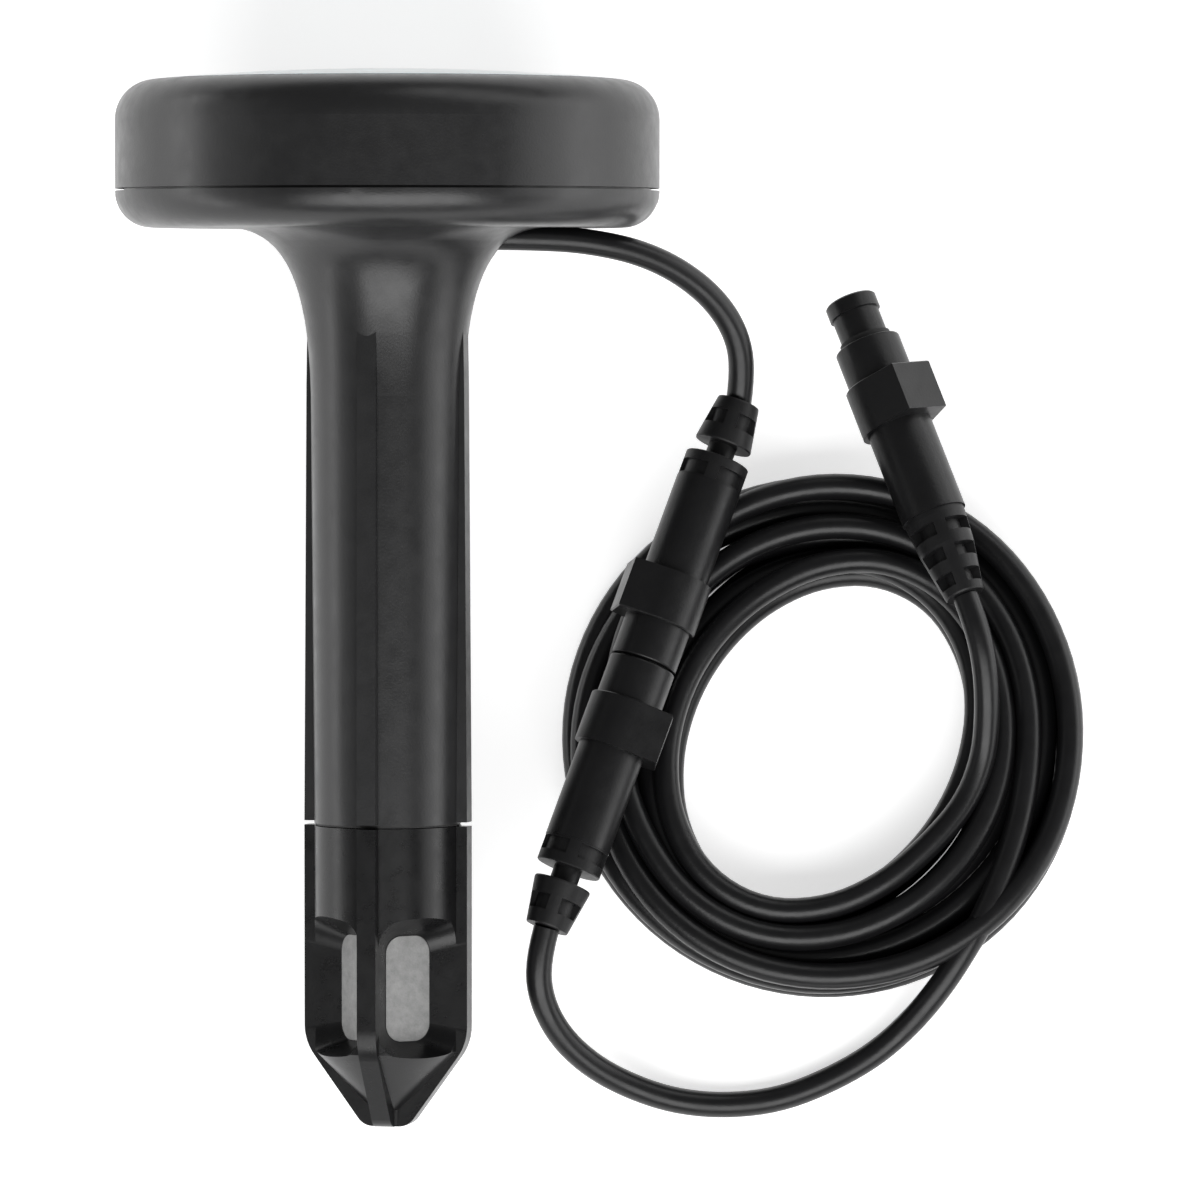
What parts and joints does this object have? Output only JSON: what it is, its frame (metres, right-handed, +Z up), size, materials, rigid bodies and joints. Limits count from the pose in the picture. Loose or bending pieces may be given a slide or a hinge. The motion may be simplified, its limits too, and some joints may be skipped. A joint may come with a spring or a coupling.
{
  "type": "soil sensor stake",
  "caption": "Wired soil sensor: disc head with clear lens on a ribbed stake with a windowed pointed tip, a short lead, mated in-line plugs and a coiled extension cable.",
  "frame": {"origin": "middle of the stake's footprint on the table it lies on, without the cables and plugs", "axes": "+Y along the stake on the table, from the pointed tip towards the head; +Z up; the lead leaves towards +X"},
  "size_m": [0.1872, 0.206, 0.1048],
  "materials": {
    "housing_grey": "satin moulded, fine grain",
    "lens_clear": "clear, lightly domed",
    "gasket_rubber": "matte",
    "solar_backing": "satin",
    "solar_cell": "dark blue with fine silver lines",
    "circuit_board": "solder mask",
    "steel_screw": "bright",
    "shield_tin": "tinned",
    "inner_plastic": "plain moulded",
    "led_lens": "diffused",
    "battery_wrap": "shrink sleeve",
    "flat_flex": "polyimide",
    "thermistor_bead": "epoxy bead",
    "tip_black": "satin moulded",
    "electrode_metal": "sintered, mottled grey",
    "cable_jacket": "satin PVC jacket",
    "relief_rubber": "matte overmoulding",
    "connector_black": "satin moulded",
    "insert_plastic": "satin moulded",
    "contact_brass": "gold plated"
  },
  "bodies": {
    "probe": {"stem_housing": "housing_grey", "lead_gland": "gasket_rubber", "cover_seal": "gasket_rubber", "main_board": "circuit_board", "board_screws": "steel_screw", "rf_shield": "shield_tin", "lead_terminal": "inner_plastic", "status_led": "led_lens", "battery": "battery_wrap", "battery_carrier": "inner_plastic", "battery_contacts": "shield_tin", "sensor_harness": "flat_flex", "harness_socket": "inner_plastic", "sensor_board": "circuit_board", "board_clip": "inner_plastic", "thermistor": "thermistor_bead", "tip_seal": "gasket_rubber", "lead_cable": "cable_jacket", "lead_plug_relief": "relief_rubber", "lead_plug_body": "connector_black", "lead_plug_seal": "gasket_rubber", "lead_plug_insert": "insert_plastic", "lead_plug_pins": "contact_brass"},
    "cover": {"head_cover": "housing_grey", "top_lens": "lens_clear", "lens_gasket": "gasket_rubber", "solar_panel": "solar_backing", "solar_cells": "solar_cell"},
    "tip": {"probe_tip": "tip_black", "electrode_1": "electrode_metal", "electrode_2": "electrode_metal", "electrode_3": "electrode_metal", "electrode_4": "electrode_metal"},
    "extension_lead": {"socket_relief": "relief_rubber", "socket_body": "connector_black", "socket_insert": "insert_plastic", "socket_contacts": "contact_brass", "extension_cable": "cable_jacket", "cable_coil": "cable_jacket", "coil_tail": "cable_jacket", "far_plug_relief": "relief_rubber", "far_plug_body": "connector_black", "far_plug_seal": "gasket_rubber", "far_plug_insert": "insert_plastic", "far_plug_pins": "contact_brass"}
  },
  "joints": [
    {"name": "cover_lift", "type": "slide", "parent": "probe", "child": "cover", "axis": [0, 0.9757, 0.219], "range_m": [0, 0.012]},
    {"name": "tip_twist", "type": "hinge", "parent": "probe", "child": "tip", "pos_m": [0, -0.05348, 0.02268], "axis": [0, 0.9757, 0.219], "range_deg": [0, 30]},
    {"name": "plug_pull", "type": "slide", "parent": "probe", "child": "extension_lead", "axis": [-0.3395, -0.9406, 0], "range_m": [0, 0.012]}
  ]
}
